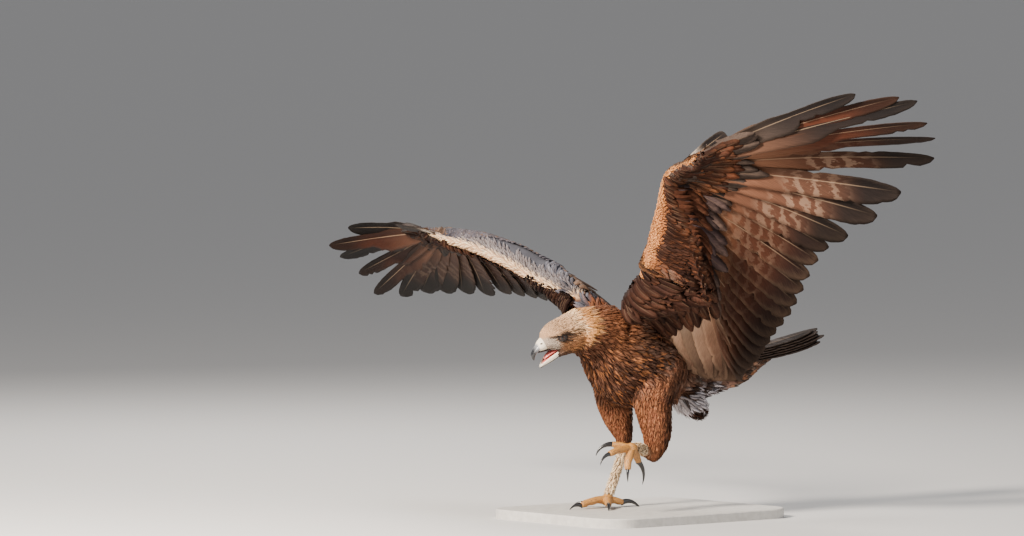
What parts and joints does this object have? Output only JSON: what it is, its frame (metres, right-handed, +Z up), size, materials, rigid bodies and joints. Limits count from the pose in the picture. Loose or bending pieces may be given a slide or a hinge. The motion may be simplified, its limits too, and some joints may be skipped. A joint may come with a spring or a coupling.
{
  "type": "golden eagle",
  "caption": "Life-size adult golden eagle striding low with both wings raised, bill open and one foot lifted, on a plain flat base",
  "frame": {"origin": "centre of the display base's underside", "axes": "+Z up, the bird faces -Y, its left side is +X"},
  "size_m": [1.7595, 0.6939, 0.8248],
  "materials": {
    "body_feathers": "matt red-brown lanceolate feathers with orange-brown tips",
    "hackles": "matt golden tan hackles, pale cream at the nape",
    "flight_feathers": "satin dark brown vanes, paler and barred near the roots",
    "trouser_feathers": "matt cinnamon brown, darker behind",
    "shank_feathers": "short matt cream feathering",
    "toe_skin": "scaly yellow skin",
    "claw": "black horn, satin gloss",
    "horn": "dark slate horn, paler towards the cere",
    "pale_horn": "cream horn with a dark tip",
    "cere": "smooth whitish skin",
    "mouth": "moist pink",
    "eye": "clear gloss over a dark brown iris",
    "stand": "plain matt warm grey"
  },
  "bodies": {
    "root": {"torso": "body_feathers", "neck": "hackles", "head": "hackles", "cere": "cere", "bill_upper": "horn", "bill_lower": "pale_horn", "tongue": "mouth", "eye_left": "eye", "eye_right": "eye", "tail": "flight_feathers", "wing_left_hand": "flight_feathers", "wing_left_arm": "flight_feathers", "wing_right_hand": "flight_feathers", "wing_right_arm": "flight_feathers", "thigh_left": "trouser_feathers", "thigh_right": "trouser_feathers", "shank_left": "shank_feathers", "shank_right": "shank_feathers", "toes_left": "toe_skin", "toes_right": "toe_skin", "claw_inner_left": "claw", "claw_middle_left": "claw", "claw_outer_left": "claw", "claw_hind_left": "claw", "claw_inner_right": "claw", "claw_middle_right": "claw", "claw_outer_right": "claw", "claw_hind_right": "claw", "stand_base": "stand"}
  },
  "joints": []
}
